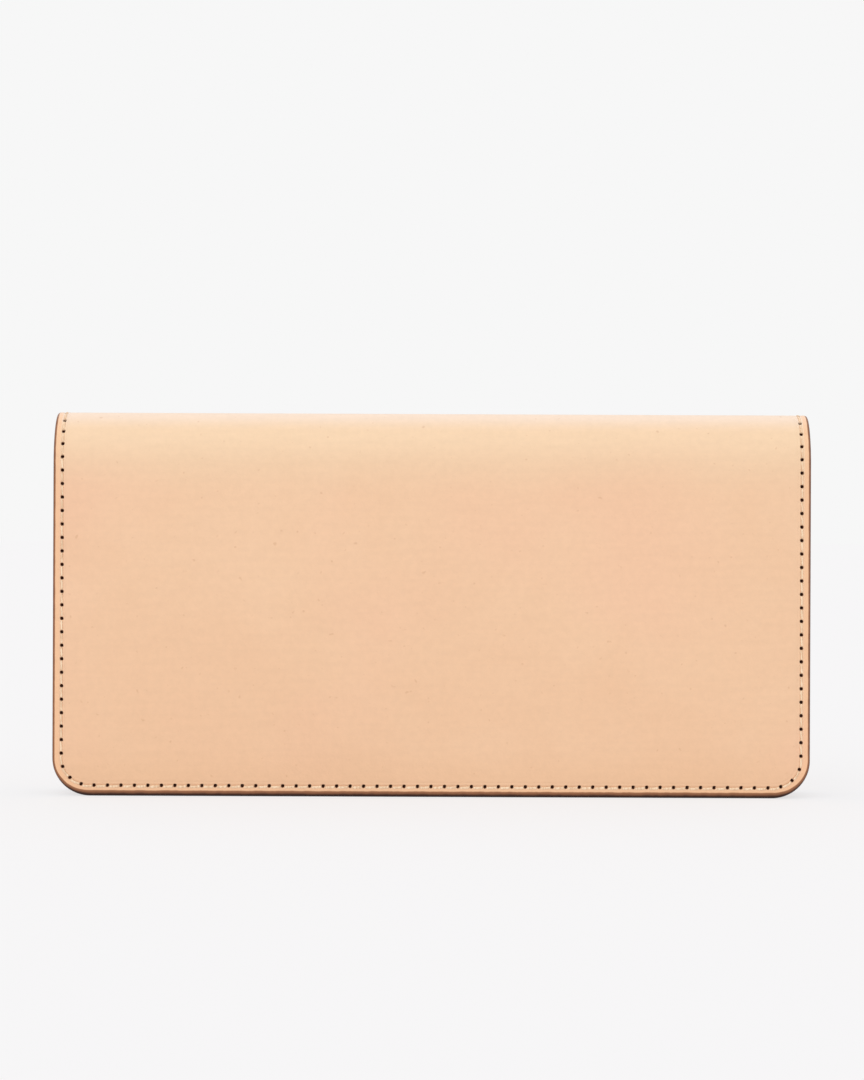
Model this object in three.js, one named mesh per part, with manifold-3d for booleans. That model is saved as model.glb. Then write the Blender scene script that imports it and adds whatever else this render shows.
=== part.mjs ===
// Long bifold wallet in natural leather, closed and standing on its open edges with the fold on top.
// Millimetres, +Z up, front cover towards -Y, long side along X, origin on the ground under the middle.
// The back half is fixed; the front half opens forwards and up over a fold of narrow leather strips.

import * as THREE from "three";
import { mergeVertices } from "three/addons/utils/BufferGeometryUtils.js";
import Module from "manifold-3d";

const wasm = await Module();
wasm.setup();

// Whole wallet
const WIDTH = 190;
const HEIGHT = 96.5;
const HALF = 8; // half of the closed thickness
const FOLD_RISE = 13; // height of the rounded fold above the flat covers
const PANEL_TOP = HEIGHT - FOLD_RISE;
const CORNER_R = 9.5;

// Fold: strips of leather that turn on each other at evenly spaced slopes of the curve
const FOLD_JOINTS = 6;
const JOINT_GAP = 0.3;
const ARC_STEPS = 4;

// Layers, each as a pair of depths below the outer face of its own half
const COVER = [0, 1.6];
const LINING = [1.7, 2.2];
const BILL_POCKET = [2.35, 2.95];
const CARD_LEATHER = 0.6;
const LAYER_GAP = 0.15;
const COIN_BACK = [2.35, 2.75];
const COIN_FRAME = [2.85, 4.35];
const ZIP_TAPE = [4.45, 4.85];
const COIN_PANEL = [4.95, 5.75];
const SLIP_POCKET = [5.9, 6.5];

// Pockets, by the height of the edge that they open at
const BILL_TOP = 82;
const CARD_TOPS = [78, 69, 60, 51];
const COLUMN_GAP = 0.5;
const COIN_TOP = 80;
const SLIP_TOP = 44;
const FRAME_WIDTH = 6;

// Zip of the coin pocket, which closes to the right
const ZIP_Z = 66;
const WINDOW = { halfLength: 78, halfHeight: 5, cornerR: 2.5 };
const CHAIN_HALF = 74;
const TAPE_HALF = 84;
const TAPE_REACH = [2, 7.5]; // from the middle of the zip outwards
const TOOTH = { pitch: 2, length: 1, tip: 0.35, bead: 1.4, root: 1.9, depth: [3.85, 5.45] };
const STOP = { from: 74.4, length: 1.6, halfHeight: 1.9, depth: [4, 5.3] };
const SLIDER = {
  x: 69,
  halfLength: 4.5,
  halfWidth: 4,
  noseCut: 1.5,
  back: [2.95, 3.65],
  front: [5.65, 6.35],
  postX: [1.5, 3.5],
  postHalf: 0.18,
};
const BAIL = { legX: 2.2, legR: 0.45, legs: [6.2, 7.95], bridge: [7.85, 8.45], bridgeHalf: 0.6 };
const PULL = { eyeR: 2.4, holeR: 0.75, length: 19, tipWidth: 5.4, neckWidth: 3, depth: [6.65, 7.55] };

// Sewing
const STITCH_INSET = 2.3;
const GROOVE = { width: 0.9, depth: 0.35 };
const THREAD = 0.5;
const THREAD_GAP = 0.05;
const DIVIDER_X = 2;
const DIVIDER_START = STITCH_INSET + 1;
const OUTER_THREAD_TOP = PANEL_TOP - 0.5;

const finish = (color, roughness, metalness = 0) =>
  new THREE.MeshStandardMaterial({ color, roughness, metalness });
const NATURAL = finish(0xf2c8a6, 0.5);
const LINING_LEATHER = finish(0xe3bd98, 0.7);
const POCKET_LEATHER = finish(0xeec3a0, 0.55);
const COTTON = finish(0xd9cbb4, 0.9);
const TAPE_FABRIC = finish(0xc8a67f, 0.85);
const BRASS = finish(0xc9a44e, 0.3, 1);
const THREAD_FIBRE = finish(0xf3e6cf, 0.8);

const wallet = new THREE.Group();

function add(name, solid, material) {
  const mesh = new THREE.Mesh(toGeometry(solid), material);
  mesh.name = name;
  wallet.add(mesh);
}

// manifold-3d in and out

function toSolid(geometry) {
  const bare = geometry.clone();
  bare.deleteAttribute("normal");
  bare.deleteAttribute("uv");
  const merged = mergeVertices(bare, 1e-4);
  return new wasm.Manifold(
    new wasm.Mesh({
      numProp: 3,
      vertProperties: new Float32Array(merged.attributes.position.array),
      triVerts: new Uint32Array(merged.index.array),
    }),
  );
}

function toGeometry(solid) {
  const { vertProperties, triVerts } = solid.getMesh();
  return new THREE.BufferGeometry()
    .setAttribute("position", new THREE.BufferAttribute(vertProperties, 3))
    .setIndex(new THREE.BufferAttribute(triVerts, 1));
}

// Solids from flat outlines

// An (x, z) outline as a plate between two y planes.
function plate(shape, y0, y1) {
  const low = Math.min(y0, y1);
  const high = Math.max(y0, y1);
  const geometry = new THREE.ExtrudeGeometry(shape, {
    depth: high - low,
    bevelEnabled: false,
    curveSegments: 10,
  });
  return toSolid(geometry.rotateX(Math.PI / 2).translate(0, high, 0));
}

// A plate between two depths below the outer face of the front (side -1) or back (side 1) half.
const layer = (shape, [d0, d1], side) => plate(shape, side * (HALF - d0), side * (HALF - d1));

// A (y, z) outline as a bar along x.
function bar(points, x0, x1) {
  const outline = new THREE.Shape(points.map(([y, z]) => new THREE.Vector2(y, z)));
  const geometry = new THREE.ExtrudeGeometry(outline, { depth: x1 - x0, bevelEnabled: false });
  const axes = new THREE.Matrix4().makeBasis(
    new THREE.Vector3(0, 1, 0),
    new THREE.Vector3(0, 0, 1),
    new THREE.Vector3(1, 0, 0),
  );
  return toSolid(geometry.applyMatrix4(axes).translate(x0, 0, 0));
}

function block(x0, x1, z0, z1, depths, side) {
  const y = depths.map((d) => side * (HALF - d)).sort((a, b) => a - b);
  const box = new THREE.BoxGeometry(x1 - x0, y[1] - y[0], z1 - z0);
  return toSolid(box.translate((x0 + x1) / 2, (y[0] + y[1]) / 2, (z0 + z1) / 2));
}

// Outline of a leather layer: straight top, rounded bottom corners where it reaches the sides.
function leafShape(top, x0 = -WIDTH / 2, x1 = WIDTH / 2) {
  const r = CORNER_R;
  const shape = new THREE.Shape();
  shape.moveTo(x0, top);
  if (x0 === -WIDTH / 2) {
    shape.lineTo(x0, r).absarc(x0 + r, r, r, Math.PI, 1.5 * Math.PI, false);
  } else {
    shape.lineTo(x0, 0);
  }
  if (x1 === WIDTH / 2) {
    shape.lineTo(x1 - r, 0).absarc(x1 - r, r, r, 1.5 * Math.PI, 2 * Math.PI, false);
  } else {
    shape.lineTo(x1, 0);
  }
  return shape.lineTo(x1, top).closePath();
}

function roundedRect(halfWidth, zLow, zHigh, r) {
  return new THREE.Shape()
    .moveTo(-halfWidth + r, zLow)
    .lineTo(halfWidth - r, zLow)
    .absarc(halfWidth - r, zLow + r, r, -Math.PI / 2, 0, false)
    .lineTo(halfWidth, zHigh - r)
    .absarc(halfWidth - r, zHigh - r, r, 0, Math.PI / 2, false)
    .lineTo(-halfWidth + r, zHigh)
    .absarc(-halfWidth + r, zHigh - r, r, Math.PI / 2, Math.PI, false)
    .lineTo(-halfWidth, zLow + r)
    .absarc(-halfWidth + r, zLow + r, r, Math.PI, 1.5 * Math.PI, false);
}

// A band down one side, along the bottom and up the other side, at an inset from the edge.
function sewnBand(inset, width, top) {
  const x = [inset - width / 2, inset + width / 2].map((d) => WIDTH / 2 - d);
  const r = [inset - width / 2, inset + width / 2].map((d) => CORNER_R - d);
  const z = [inset - width / 2, inset + width / 2];
  return new THREE.Shape()
    .moveTo(-x[0], top)
    .lineTo(-x[0], CORNER_R)
    .absarc(-x[0] + r[0], CORNER_R, r[0], Math.PI, 1.5 * Math.PI, false)
    .lineTo(x[0] - r[0], z[0])
    .absarc(x[0] - r[0], CORNER_R, r[0], 1.5 * Math.PI, 2 * Math.PI, false)
    .lineTo(x[0], top)
    .lineTo(x[1], top)
    .lineTo(x[1], CORNER_R)
    .absarc(x[1] - r[1], CORNER_R, r[1], 2 * Math.PI, 1.5 * Math.PI, true)
    .lineTo(-x[1] + r[1], z[1])
    .absarc(-x[1] + r[1], CORNER_R, r[1], 1.5 * Math.PI, Math.PI, true)
    .lineTo(-x[1], top)
    .closePath();
}

// The fold is half an ellipse over the two covers. A slope of 0 faces the back, 90 degrees faces up.

function foldPoint(slope, depth, along = 0) {
  const t = Math.atan2(FOLD_RISE * Math.sin(slope), HALF * Math.cos(slope));
  const y = HALF * Math.cos(t) - depth * Math.cos(slope) - along * Math.sin(slope);
  const z = PANEL_TOP + FOLD_RISE * Math.sin(t) - depth * Math.sin(slope) + along * Math.cos(slope);
  return [y, z];
}

const jointSlope = (k) => ((k - 0.5) * Math.PI) / FOLD_JOINTS;

// Section of a stretch of the fold between two slopes; each end that meets a joint stops half a gap short.
function foldSection(from, to, [d0, d1], trimFrom, trimTo) {
  const row = (depth) =>
    Array.from({ length: ARC_STEPS + 1 }, (_, i) => {
      const slope = from + ((to - from) * i) / ARC_STEPS;
      const trimmed = (i === 0 && trimFrom) || (i === ARC_STEPS && trimTo);
      const inward = i === 0 ? 1 : -1;
      return foldPoint(slope, depth, trimmed ? (inward * JOINT_GAP) / 2 : 0);
    });
  return [...row(d0), ...row(d1).reverse()];
}

function foldStrip(k, depths) {
  const section = foldSection(jointSlope(k), jointSlope(k + 1), depths, true, true);
  return bar(section, -WIDTH / 2, WIDTH / 2);
}

// A cover or its lining: flat from the bottom edge up, then the first stretch of the fold.
function coverLayer(depths, side) {
  const section = foldSection(0, jointSlope(1), depths, false, true);
  const arc = section.length / 2;
  const outline = [
    [HALF - depths[0], 0],
    ...section.slice(0, arc),
    ...section.slice(arc),
    [HALF - depths[1], 0],
  ];
  const placed = outline.map(([y, z]) => [side * y, z]);
  const flat = bar(side > 0 ? placed : placed.reverse(), -WIDTH / 2, WIDTH / 2);
  return flat.intersect(plate(leafShape(HEIGHT), -2 * HALF, 2 * HALF));
}

// Sewing thread on the inside, which climbs down from each pocket edge to the layer behind it.
// Each step is a surface depth and the height of the edge where that surface ends.
function threadRun(x, from, steps, side) {
  const low = steps.flatMap(({ depth, top }, i) => {
    const start = i === 0 ? from : steps[i - 1].top + THREAD_GAP;
    const end = i === steps.length - 1 ? top : top + THREAD_GAP;
    return [start, end].map((z) => [depth + THREAD_GAP, z]);
  });
  const high = steps.flatMap(({ depth, top }, i) => {
    const start = i === 0 ? from : steps[i - 1].top + THREAD_GAP + THREAD;
    const end = i === steps.length - 1 ? top : top + THREAD_GAP + THREAD;
    return [start, end].map((z) => [depth + THREAD_GAP + THREAD, z]);
  });
  const placed = [...low, ...high.reverse()].map(([d, z]) => [side * (HALF - d), z]);
  return bar(side > 0 ? placed.reverse() : placed, x - THREAD / 2, x + THREAD / 2);
}

function edgeThreadInside(steps, side) {
  const join = 2 * CORNER_R;
  const d = steps[0].depth + THREAD_GAP;
  const x = WIDTH / 2 - STITCH_INSET;
  return layer(sewnBand(STITCH_INSET, THREAD, join + 1), [d, d + THREAD], side)
    .add(threadRun(-x, join, steps, side))
    .add(threadRun(x, join, steps, side));
}

// Outer leather, lining and the thread on the outside

function addCovers() {
  const groove = sewnBand(STITCH_INSET, GROOVE.width, OUTER_THREAD_TOP + 0.5);
  const thread = sewnBand(STITCH_INSET, THREAD, OUTER_THREAD_TOP);
  for (const [name, side] of [["back", 1], ["front", -1]]) {
    const cut = layer(groove, [-1, GROOVE.depth], side);
    add(`cover_${name}`, coverLayer(COVER, side).subtract(cut), NATURAL);
    add(`lining_${name}`, coverLayer(LINING, side), LINING_LEATHER);
    const bed = GROOVE.depth - THREAD_GAP;
    add(`edge_thread_${name}`, layer(thread, [bed - THREAD, bed], side), THREAD_FIBRE);
  }
  for (let k = 1; k < FOLD_JOINTS; k++) {
    add(`spine_leather_${k}`, foldStrip(k, COVER), NATURAL);
    add(`spine_lining_${k}`, foldStrip(k, LINING), LINING_LEATHER);
  }
}

// Back half: a long pocket for notes and two columns of card pockets

const cardDepths = (tier) => {
  const front = BILL_POCKET[1] + LAYER_GAP + tier * (CARD_LEATHER + LAYER_GAP);
  return [front, front + CARD_LEATHER];
};

function addCardSide() {
  add("bill_pocket", layer(leafShape(BILL_TOP), BILL_POCKET, 1), POCKET_LEATHER);
  CARD_TOPS.forEach((top, tier) => {
    const left = leafShape(top, -WIDTH / 2, -COLUMN_GAP / 2);
    const right = leafShape(top, COLUMN_GAP / 2, WIDTH / 2);
    add(`card_pocket_left_${tier + 1}`, layer(left, cardDepths(tier), 1), POCKET_LEATHER);
    add(`card_pocket_right_${tier + 1}`, layer(right, cardDepths(tier), 1), POCKET_LEATHER);
  });
  const tiers = CARD_TOPS.map((top, tier) => ({ depth: cardDepths(tier)[1], top })).reverse();
  const upToBill = [...tiers, { depth: BILL_POCKET[1], top: BILL_TOP - 1 }];
  add("card_edge_thread", edgeThreadInside(upToBill, 1), THREAD_FIBRE);
  for (const [name, x] of [["left", -DIVIDER_X], ["right", DIVIDER_X]]) {
    add(`card_divider_thread_${name}`, threadRun(x, DIVIDER_START, upToBill, 1), THREAD_FIBRE);
  }
}

// Front half: zipped coin pocket with a slip pocket in front of it

function addCoinPocket() {
  add("coin_pocket_back", layer(leafShape(COIN_TOP), COIN_BACK, -1), COTTON);

  const hollow = roundedRect(WIDTH / 2 - FRAME_WIDTH, FRAME_WIDTH, COIN_TOP - FRAME_WIDTH, 4);
  const frame = layer(leafShape(COIN_TOP), COIN_FRAME, -1);
  const hole = plate(hollow, -HALF, 0);
  add("coin_pocket_frame", frame.subtract(hole), POCKET_LEATHER);

  const { halfLength, halfHeight, cornerR } = WINDOW;
  const slot = roundedRect(halfLength, ZIP_Z - halfHeight, ZIP_Z + halfHeight, cornerR);
  const panel = layer(leafShape(COIN_TOP), COIN_PANEL, -1).subtract(plate(slot, -HALF, 0));
  add("coin_pocket_panel", panel, POCKET_LEATHER);

  const surface = COIN_PANEL[1] + THREAD_GAP;
  const ring = (grow) =>
    roundedRect(halfLength + grow, ZIP_Z - halfHeight - grow, ZIP_Z + halfHeight + grow, cornerR + grow);
  const windowThread = layer(ring(1.8 + THREAD), [surface, surface + THREAD], -1);
  add("zip_window_thread", windowThread.subtract(plate(ring(1.8), -HALF, 0)), THREAD_FIBRE);

  add("slip_pocket", layer(leafShape(SLIP_TOP), SLIP_POCKET, -1), POCKET_LEATHER);
  const steps = [
    { depth: SLIP_POCKET[1], top: SLIP_TOP },
    { depth: COIN_PANEL[1], top: COIN_TOP - 1 },
  ];
  add("coin_edge_thread", edgeThreadInside(steps, -1), THREAD_FIBRE);
}

// Zip: two tapes, two rows of teeth, stops, slider and hanging pull

// One row of teeth: a bead with the teeth standing on it, as a comb outline.
function zipRow(up) {
  const count = (CHAIN_HALF * 2) / TOOTH.pitch - 1;
  const first = -CHAIN_HALF + TOOTH.pitch / 4 + (up > 0 ? 0 : TOOTH.pitch / 2);
  const teeth = Array.from({ length: count }, (_, i) => {
    const x = first + i * TOOTH.pitch;
    return [[x, TOOTH.bead], [x, TOOTH.tip], [x + TOOTH.length, TOOTH.tip], [x + TOOTH.length, TOOTH.bead]];
  }).flat();
  const outline = [[-CHAIN_HALF, TOOTH.root], [-CHAIN_HALF, TOOTH.bead], ...teeth];
  outline.push([CHAIN_HALF, TOOTH.bead], [CHAIN_HALF, TOOTH.root]);
  const points = outline.map(([x, reach]) => new THREE.Vector2(x, ZIP_Z + up * reach));
  return layer(new THREE.Shape(points), TOOTH.depth, -1);
}

function sliderPlate(depths) {
  const { halfLength: l, halfWidth: w, noseCut: c } = SLIDER;
  const outline = [[-l, -w + c], [-l + c, -w], [l - c, -w], [l, -w + c], [l, w - c], [l - c, w], [-l + c, w], [-l, w - c]];
  const shape = new THREE.Shape(outline.map(([x, z]) => new THREE.Vector2(SLIDER.x + x, ZIP_Z + z)));
  return layer(shape, depths, -1);
}

function zipSlider() {
  const { x, back, front, postX, postHalf } = SLIDER;
  const { legX, legR, legs, bridge, bridgeHalf } = BAIL;
  const post = block(x + postX[0], x + postX[1], ZIP_Z - postHalf, ZIP_Z + postHalf, [back[0], front[1]], -1);
  const leg = (at) => {
    const circle = new THREE.Shape().absarc(x + at, ZIP_Z, legR, 0, 2 * Math.PI, false);
    return layer(circle, legs, -1);
  };
  const reach = legX + legR;
  const top = block(x - reach, x + reach, ZIP_Z - bridgeHalf, ZIP_Z + bridgeHalf, bridge, -1);
  return sliderPlate(back).add(sliderPlate(front)).add(post).add(leg(-legX)).add(leg(legX)).add(top);
}

// The eye of the pull turns on the left leg of the bail.
function zipPull() {
  const { eyeR, holeR, length, tipWidth, neckWidth, depth } = PULL;
  const x = SLIDER.x - BAIL.legX;
  const neck = Math.asin(neckWidth / 2 / eyeR);
  const tipR = 1.6;
  const tip = ZIP_Z - length;
  const shape = new THREE.Shape()
    .absarc(x, ZIP_Z, eyeR, -Math.PI / 2 + neck, 1.5 * Math.PI - neck, false)
    .lineTo(x - neckWidth / 2, ZIP_Z - eyeR - 1)
    .lineTo(x - tipWidth / 2, ZIP_Z - eyeR - 4)
    .lineTo(x - tipWidth / 2, tip + tipR)
    .absarc(x - tipWidth / 2 + tipR, tip + tipR, tipR, Math.PI, 1.5 * Math.PI, false)
    .absarc(x + tipWidth / 2 - tipR, tip + tipR, tipR, 1.5 * Math.PI, 2 * Math.PI, false)
    .lineTo(x + tipWidth / 2, ZIP_Z - eyeR - 4)
    .lineTo(x + neckWidth / 2, ZIP_Z - eyeR - 1)
    .closePath();
  shape.holes.push(new THREE.Path().absarc(x, ZIP_Z, holeR, 0, 2 * Math.PI, true));
  return layer(shape, depth, -1);
}

function addZip() {
  for (const [name, up] of [["upper", 1], ["lower", -1]]) {
    const z = TAPE_REACH.map((r) => ZIP_Z + up * r).sort((a, b) => a - b);
    add(`zip_tape_${name}`, block(-TAPE_HALF, TAPE_HALF, ...z, ZIP_TAPE, -1), TAPE_FABRIC);
    add(`zip_teeth_${name}`, zipRow(up), BRASS);
  }
  for (const [name, side] of [["left", -1], ["right", 1]]) {
    const x = [side * STOP.from, side * (STOP.from + STOP.length)].sort((a, b) => a - b);
    const stop = block(...x, ZIP_Z - STOP.halfHeight, ZIP_Z + STOP.halfHeight, STOP.depth, -1);
    add(`zip_stop_${name}`, stop, BRASS);
  }
  add("zip_slider", zipSlider(), BRASS);
  add("zip_pull", zipPull(), BRASS);
}

addCovers();
addCardSide();
addCoinPocket();
addZip();

export default wallet;
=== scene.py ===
"""Long bifold wallet in natural vegetable-tanned leather, closed and standing on its open edges.

The leather is laid out flat: x along the wallet, and v from the front bottom edge, up the front, over the
fold and down the back to the back bottom edge. Depth is measured inwards from the outer face. place() rolls
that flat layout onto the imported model. Lengths are in millimetres until a mesh is made.
"""

import bisect
import functools
import itertools
import math

import bmesh
import bpy
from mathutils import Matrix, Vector, geometry, kdtree


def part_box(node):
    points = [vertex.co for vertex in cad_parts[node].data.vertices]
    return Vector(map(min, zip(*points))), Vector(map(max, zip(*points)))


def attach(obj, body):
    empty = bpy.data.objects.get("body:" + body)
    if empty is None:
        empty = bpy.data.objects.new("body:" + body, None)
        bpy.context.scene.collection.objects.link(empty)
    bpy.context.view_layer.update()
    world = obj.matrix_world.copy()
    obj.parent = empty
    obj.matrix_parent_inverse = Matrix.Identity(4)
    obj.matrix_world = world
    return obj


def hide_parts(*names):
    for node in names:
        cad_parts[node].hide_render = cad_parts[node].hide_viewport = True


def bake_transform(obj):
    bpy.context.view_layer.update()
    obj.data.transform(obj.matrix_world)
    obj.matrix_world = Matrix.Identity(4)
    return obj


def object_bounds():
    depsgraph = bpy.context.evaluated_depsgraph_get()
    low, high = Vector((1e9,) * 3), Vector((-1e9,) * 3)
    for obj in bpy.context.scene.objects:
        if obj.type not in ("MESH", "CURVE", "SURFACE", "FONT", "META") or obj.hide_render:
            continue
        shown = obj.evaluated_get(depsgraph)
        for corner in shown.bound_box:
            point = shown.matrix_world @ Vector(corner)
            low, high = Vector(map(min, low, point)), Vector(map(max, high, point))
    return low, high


MM = 0.001
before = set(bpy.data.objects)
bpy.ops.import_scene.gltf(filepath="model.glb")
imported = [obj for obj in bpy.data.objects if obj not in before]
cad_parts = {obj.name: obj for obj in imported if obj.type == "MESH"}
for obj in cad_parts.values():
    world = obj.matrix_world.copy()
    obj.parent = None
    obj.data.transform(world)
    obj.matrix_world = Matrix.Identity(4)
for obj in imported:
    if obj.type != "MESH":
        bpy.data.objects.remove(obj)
cad_box = [list(corner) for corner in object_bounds()]

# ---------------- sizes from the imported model


@functools.cache
def box_mm(node):
    """Lowest and highest corner of a CAD node in millimetres."""
    low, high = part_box(node)
    return [c / MM for c in low], [c / MM for c in high]


def layer_mm(node):
    """(outer depth, inner depth) of a flat CAD layer in either half of the wallet."""
    low, high = box_mm(node)
    outer, inner = max(abs(low[1]), abs(high[1])), min(abs(low[1]), abs(high[1]))
    return HALF - outer, HALF - inner


def top_mm(node):
    """Height of the upper edge of a CAD node."""
    return box_mm(node)[1][2]


WIDTH = box_mm("cover_front")[1][0] * 2
HALF = box_mm("cover_back")[1][1]
HEIGHT = cad_box[1][2] / MM
FOLD_RISE = 13.0
PANEL_TOP = HEIGHT - FOLD_RISE
CORNER_R = 9.5
COVER_T = 1.6
LINING = (1.62, 2.2)
STITCH_INSET = 2.3
BOTTOM_LIFT = 0.42  # how much further from the edge the stitching lies along the bottom
DIVIDER_X = 2.0
ZIP_Z = 66.0
WINDOW = {"half_length": 78.0, "half_height": 5.0, "radius": 2.5}
FRONT_LAYERS = ["coin_pocket_panel", "slip_pocket"]
BACK_LAYERS = ["bill_pocket", *(f"card_pocket_right_{tier}" for tier in (1, 2, 3, 4))]
CHAIN = ["back_half", "spine_1", "spine_2", "spine_3", "spine_4", "spine_5", "front_half"]
JOINTS = len(CHAIN) - 1

# Sewing
STITCHES = 111  # from the middle of the front bottom edge round one side to the middle of the back one
THREAD = {"half_width": 0.26, "half_height": 0.18, "sides": 10}
HOLE = {"radius": 0.5, "floor": 0.26, "outer_depth": 1.05, "inner_depth": 0.5}
GROOVE = {"half_width": 0.5, "depth": 0.2}
NEAR_HOLE = [-0.6, -0.45, -0.3, -0.15, 0.0, 0.15, 0.3, 0.45, 0.6]

# ---------------- flat layout and fold


def lerp(a, b, share):
    return a + (b - a) * share


def smooth(share):
    """Smoothstep, clamped."""
    share = min(1.0, max(0.0, share))
    return share * share * (3 - 2 * share)


def fold_point(slope, depth):
    """(y, z) on the fold, half an ellipse. Slope 0 faces the back, a quarter turn faces up."""
    turn = math.atan2(FOLD_RISE * math.sin(slope), HALF * math.cos(slope))
    y = HALF * math.cos(turn) - depth * math.cos(slope)
    z = PANEL_TOP + FOLD_RISE * math.sin(turn) - depth * math.sin(slope)
    return y, z


def fold_table(steps=720):
    """Lengths along the outer face of the fold from the front cover, and the slope at each."""
    slopes = [math.pi * (1 - i / steps) for i in range(steps + 1)]
    points = [fold_point(slope, 0) for slope in slopes]
    lengths = [0.0]
    for here, there in zip(points, points[1:]):
        lengths.append(lengths[-1] + math.dist(here, there))
    return lengths, slopes


FOLD_LENGTHS, FOLD_SLOPES = fold_table()
FOLD_LENGTH = FOLD_LENGTHS[-1]
V_END = 2 * PANEL_TOP + FOLD_LENGTH


def slope_at(v):
    """Slope of the fold at a place v in the flat layout."""
    reach = v - PANEL_TOP
    i = min(max(bisect.bisect_left(FOLD_LENGTHS, reach), 1), len(FOLD_LENGTHS) - 1)
    before, after = FOLD_LENGTHS[i - 1], FOLD_LENGTHS[i]
    return lerp(FOLD_SLOPES[i - 1], FOLD_SLOPES[i], (reach - before) / (after - before))


def v_at(slope):
    """Place in the flat layout where the fold has this slope."""
    share = (1 - slope / math.pi) * (len(FOLD_SLOPES) - 1)
    i = min(int(share), len(FOLD_SLOPES) - 2)
    return PANEL_TOP + lerp(FOLD_LENGTHS[i], FOLD_LENGTHS[i + 1], share - i)


def place(x, v, depth):
    """A point of the flat layout, rolled onto the closed wallet."""
    if v <= PANEL_TOP:
        return x, depth - HALF, v
    if v >= V_END - PANEL_TOP:
        return x, HALF - depth, V_END - v
    y, z = fold_point(slope_at(v), depth)
    return x, y, z


# The sewn line is a loop. Its place p runs from the middle of the front bottom edge, negative leftwards.
FLAT = WIDTH / 2 - CORNER_R
TURN = (CORNER_R - STITCH_INSET) * math.pi / 2
HALF_LOOP = 2 * FLAT + 2 * TURN + V_END - 2 * CORNER_R
PITCH = HALF_LOOP / STITCHES


def loop_point(p, inset):
    """(x, v) beside the sewn line at p, at an inset from the edge of the leather."""
    side = 1 if p >= 0 else -1
    q = abs(p)
    if q > HALF_LOOP / 2:
        x, v = loop_point(HALF_LOOP - q, inset)
        return side * x, V_END - v
    inset += BOTTOM_LIFT * bottomness(p) * min(inset / STITCH_INSET, 1)
    if q <= FLAT:
        return side * q, inset
    if q <= FLAT + TURN:
        angle = (q - FLAT) / TURN * math.pi / 2
        r = CORNER_R - inset
        return side * (FLAT + r * math.sin(angle)), CORNER_R - r * math.cos(angle)
    return side * (WIDTH / 2 - inset), CORNER_R + q - FLAT - TURN


def p_at_height(z):
    """Place on the sewn line at a height on the right side of the front."""
    return FLAT + TURN + z - CORNER_R


def bottomness(p):
    """1 along a bottom edge, 0 up the sides, smooth round the corners."""
    q = min(abs(p), HALF_LOOP - abs(p))
    return 1 - smooth((q - FLAT) / TURN)


def stations(start, end, spread):
    """Places on the sewn line from start to end, crowded round each hole."""
    found = {start, end}
    for i in range(math.floor(start / PITCH) - 1, math.ceil(end / PITCH) + 2):
        for offset in spread:
            p = i * PITCH + offset
            if start + 0.04 < p < end - 0.04:
                found.add(p)
    return sorted(found)


COARSE = NEAR_HOLE + [1.1, PITCH / 2, PITCH - 1.1]
FINE = NEAR_HOLE + [0.87, 1.13, 1.4, PITCH / 2, PITCH - 1.4, PITCH - 1.13, PITCH - 0.87]
LOOP_HOLES = [loop_point(i * PITCH, STITCH_INSET) for i in range(-STITCHES, STITCHES)]

# ---------------- meshes


def hole_finder(holes):
    """A search tree of hole centres in the flat layout."""
    tree = kdtree.KDTree(len(holes))
    for i, (x, v) in enumerate(holes):
        tree.insert((x, v, 0), i)
    tree.balance()
    return tree


def pierce(tree, x, v):
    """0 away from the holes, 1 at the bottom of one."""
    if tree is None:
        return 0.0
    distance = tree.find((x, v, 0))[2]
    return smooth((HOLE["radius"] - distance) / (HOLE["radius"] - HOLE["floor"]))


class Sheet:
    """A mesh in the flat layout. Each point has masks: how burnished it is, with a painted contact shadow
    along the bottom edge, and how deep in a hole.
    """

    def __init__(self):
        self.points = []
        self.masks = []
        self.faces = []

    def point(self, x, v, depth, edge=0.0, hole=0.0):
        self.points.append((x, v, depth))
        self.masks.append((edge, hole))
        return len(self.points) - 1

    def loft(self, rows, closed=False):
        """Quads between rows of point numbers; closed joins each row's ends."""
        for here, there in zip(rows, rows[1:]):
            last = len(here) if closed else len(here) - 1
            for i in range(last):
                j = (i + 1) % len(here)
                self.faces.append((here[i], here[j], there[j], there[i]))

    def piece(self, name, material, slot):
        """The Blender object of this sheet, rolled onto the wallet."""
        mesh = bpy.data.meshes.new(name)
        rolled = [[c * MM for c in place(*point)] for point in self.points]
        mesh.from_pydata(rolled, [], self.faces)
        flat = mesh.attributes.new("hide", "FLOAT_VECTOR", "POINT")
        flat.data.foreach_set("vector", [c * MM for point in self.points for c in point])
        for index, key in enumerate(("edge", "hole")):
            mask = mesh.attributes.new(key, "FLOAT", "POINT")
            mask.data.foreach_set("value", [masks[index] for masks in self.masks])
        work = bmesh.new()
        work.from_mesh(mesh)
        bmesh.ops.remove_doubles(work, verts=work.verts, dist=1e-6)
        bmesh.ops.recalc_face_normals(work, faces=work.faces)
        for face in work.faces:
            face.smooth = True
        work.to_mesh(mesh)
        work.free()
        return new_object(name, mesh, material, slot)


def linked(name, data):
    """A new object in the scene with this data."""
    made = bpy.data.objects.new(name, data)
    bpy.context.scene.collection.objects.link(made)
    return made


def new_object(name, mesh, material, slot):
    """A mesh as an object with a material. The slot is not used."""
    mesh.materials.append(material)
    made = linked(name, mesh)
    return made


def stand_in(piece, node, body):
    """Puts a piece in place of a CAD node, riding on a body."""
    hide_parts(node)
    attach(piece, body)


def loop_edges(loops):
    """Pairs of neighbours round each closed loop, numbered as if the loops were joined in one list."""
    edges = []
    start = 0
    for loop in loops:
        edges += [(start + i, start + (i + 1) % len(loop)) for i in range(len(loop))]
        start += len(loop)
    return edges


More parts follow.
